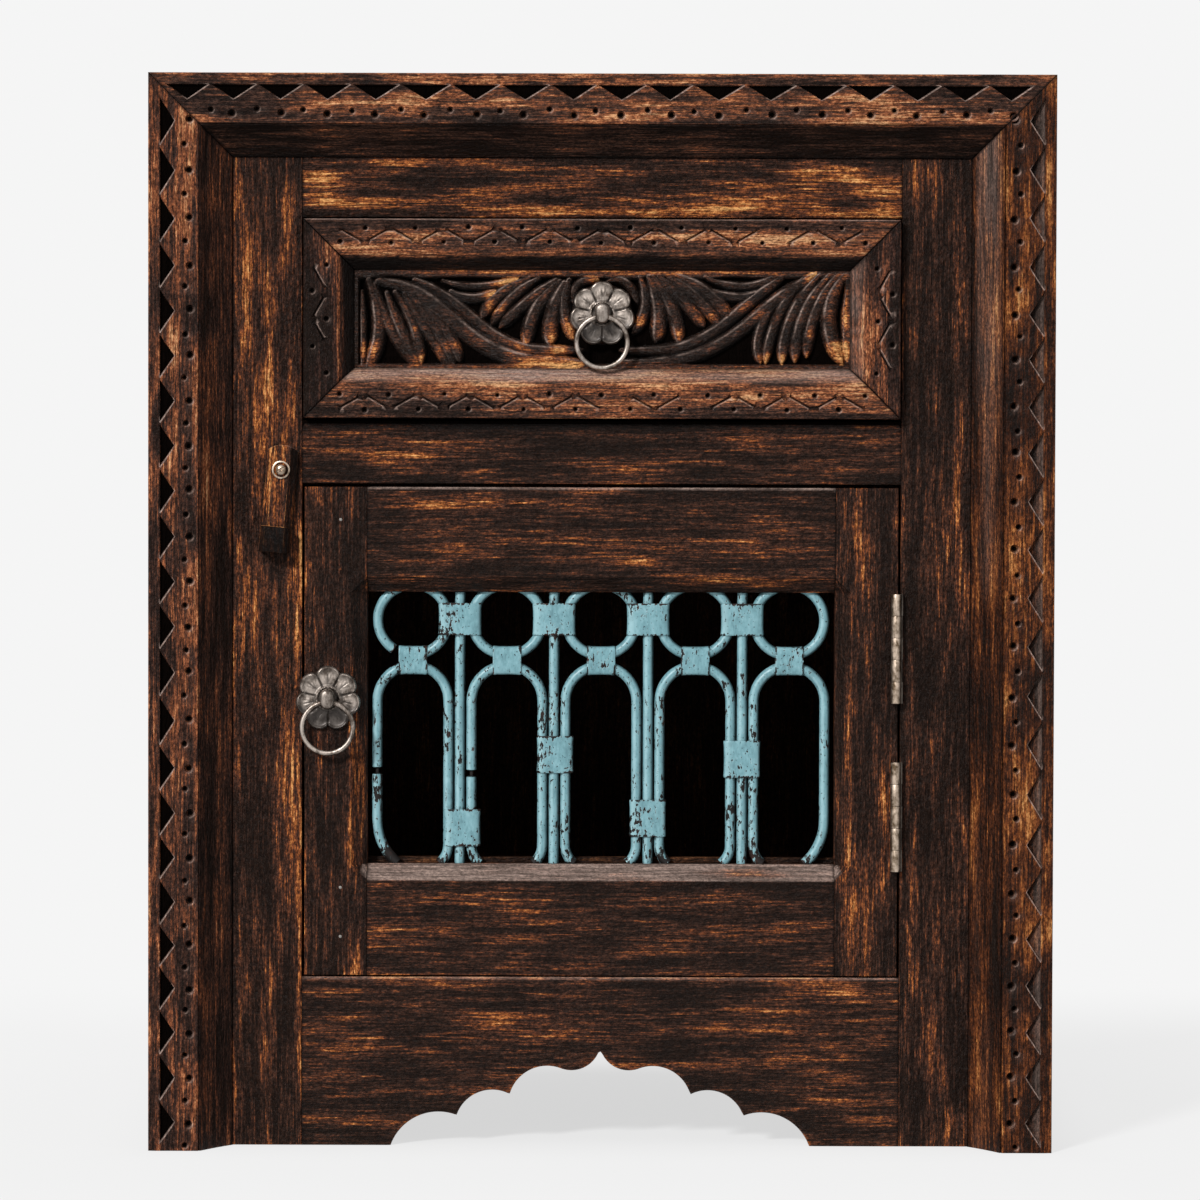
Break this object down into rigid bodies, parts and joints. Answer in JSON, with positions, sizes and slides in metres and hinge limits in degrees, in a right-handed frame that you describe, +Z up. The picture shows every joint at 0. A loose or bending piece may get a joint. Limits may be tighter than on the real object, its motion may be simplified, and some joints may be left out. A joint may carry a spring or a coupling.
{
  "type": "nightstand",
  "caption": "Carved wooden nightstand with a framed drawer above a hinged door that has an iron grille, a turn lever and a cusped apron.",
  "frame": {"origin": "middle of the footprint on the floor, at the centre of the overall box in plan", "axes": "+X to the right seen from the front, the front faces -Y, +Z up"},
  "size_m": [0.546, 0.4, 0.65],
  "materials": {
    "stained_wood": "dark brown stain, rubbed through to red and orange wood at the arrises",
    "carved_wood": "chip-carved, dark stain rubbed back on the high parts",
    "inner_wood": "plain, lightly stained",
    "painted_iron": "turquoise paint, chipped to dark iron",
    "worn_nickel": "aged grey plating, brown in the recesses",
    "dark_steel": "dark, dull"
  },
  "bodies": {
    "carcass": {"side_panel_left": "stained_wood", "side_panel_right": "stained_wood", "top_board": "stained_wood", "back_boards": "inner_wood", "bottom_shelf": "inner_wood", "divider_board": "inner_wood", "stile_left": "stained_wood", "stile_right": "stained_wood", "rail_top": "stained_wood", "rail_middle": "stained_wood", "apron": "stained_wood", "moulding_top": "carved_wood", "moulding_left": "carved_wood", "moulding_right": "carved_wood", "drawer_guide_left": "inner_wood", "drawer_guide_right": "inner_wood", "drawer_kicker_left": "inner_wood", "drawer_kicker_right": "inner_wood", "drawer_stops": "inner_wood", "shelf_cleat_left": "inner_wood", "shelf_cleat_right": "inner_wood", "door_stop": "inner_wood", "hinge_upper_frame_leaf": "worn_nickel", "hinge_lower_frame_leaf": "worn_nickel", "hinge_pins": "dark_steel", "hinge_frame_screws": "dark_steel", "latch_screw": "dark_steel", "latch_washer": "worn_nickel"},
    "drawer": {"drawer_front_board": "carved_wood", "drawer_frame_top": "carved_wood", "drawer_frame_bottom": "carved_wood", "drawer_frame_left": "carved_wood", "drawer_frame_right": "carved_wood", "drawer_side_left": "inner_wood", "drawer_side_right": "inner_wood", "drawer_back": "inner_wood", "drawer_bottom": "inner_wood", "drawer_rosette": "worn_nickel", "drawer_knob": "worn_nickel", "drawer_knob_nut": "dark_steel"},
    "drawer_pull_ring": {"drawer_ring": "worn_nickel"},
    "door": {"door_stile_left": "stained_wood", "door_stile_right": "stained_wood", "door_rail_top": "stained_wood", "door_rail_bottom": "stained_wood", "door_joint_pins": "dark_steel", "grille_rings": "painted_iron", "grille_arches": "painted_iron", "grille_bars": "painted_iron", "grille_collars": "painted_iron", "grille_battens": "inner_wood", "hinge_upper_door_leaf": "worn_nickel", "hinge_lower_door_leaf": "worn_nickel", "hinge_door_screws": "dark_steel", "door_rosette": "worn_nickel", "door_knob": "worn_nickel", "door_knob_nut": "dark_steel"},
    "door_pull_ring": {"door_ring": "worn_nickel"},
    "turn_lever": {"latch_lever": "stained_wood"}
  },
  "joints": [
    {"name": "drawer_slide", "type": "slide", "parent": "carcass", "child": "drawer", "axis": [0, -1, 0], "range_m": [0, 0.25]},
    {"name": "drawer_ring_swing", "type": "hinge", "parent": "drawer", "child": "drawer_pull_ring", "pos_m": [0, -0.178, 0.505], "axis": [-1, 0, 0], "range_deg": [0, 160]},
    {"name": "door_hinge", "type": "hinge", "parent": "carcass", "child": "door", "pos_m": [0.17925, -0.1776, 0.2526], "axis": [0, 0, 1], "range_deg": [0, 150]},
    {"name": "door_ring_swing", "type": "hinge", "parent": "door", "child": "door_pull_ring", "pos_m": [-0.166, -0.182, 0.2708], "axis": [-1, 0, 0], "range_deg": [0, 160]},
    {"name": "turn_lever_pivot", "type": "hinge", "parent": "carcass", "child": "turn_lever", "pos_m": [-0.1942, -0.1785, 0.4116], "axis": [0, -1, 0], "range_deg": [0, 90]}
  ]
}
